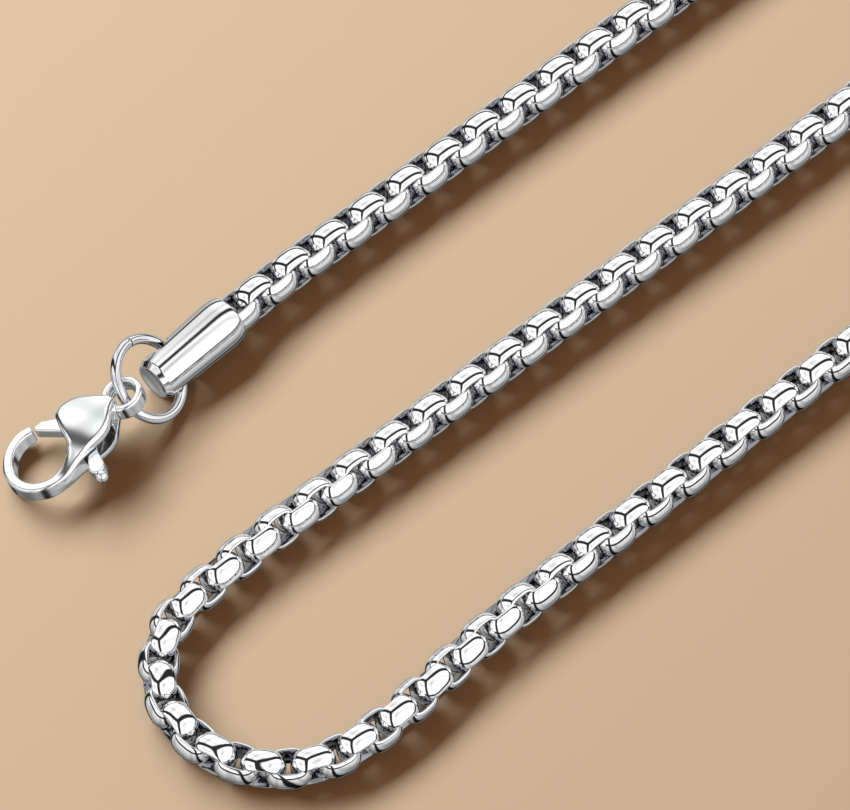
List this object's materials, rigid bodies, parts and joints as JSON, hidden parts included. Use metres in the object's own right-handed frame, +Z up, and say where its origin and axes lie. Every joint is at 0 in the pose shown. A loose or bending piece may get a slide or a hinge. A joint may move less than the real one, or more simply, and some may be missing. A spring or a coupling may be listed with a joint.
{
  "type": "round box chain necklace",
  "caption": "Polished steel round box chain necklace lying unfastened in folded strands, with a sprung lobster clasp, jump rings and tube end caps.",
  "frame": {"origin": "under the middle of the laid necklace, on the surface it rests on", "axes": "+X along the laid strands away from the clasp, +Z up from the surface, +Y from the tail end's strand to the clasp's strand"},
  "size_m": [0.1446, 0.0371, 0.0046],
  "materials": {
    "clasp_steel": "cast and mirror polished",
    "ring_steel": "drawn wire, polished",
    "cap_steel": "turned and polished, slightly satin",
    "link_steel": "mirror polished with dark recesses"
  },
  "bodies": {
    "necklace": {"clasp_body": "clasp_steel", "clasp_pin": "clasp_steel", "jump_ring": "ring_steel", "end_cap": "cap_steel", "chain_a": "link_steel", "chain_b": "link_steel", "tail_cap": "cap_steel", "tail_ring": "ring_steel"},
    "clasp_lever": {"clasp_lever": "clasp_steel"}
  },
  "joints": [
    {"name": "lever_hinge", "type": "hinge", "parent": "necklace", "child": "clasp_lever", "pos_m": [-0.05982, 0.01585, 0.00228], "axis": [-0.2073, 0.2543, 0.9447], "range_deg": [0, 28], "stiffness_Nm_per_rad": 0.002}
  ]
}
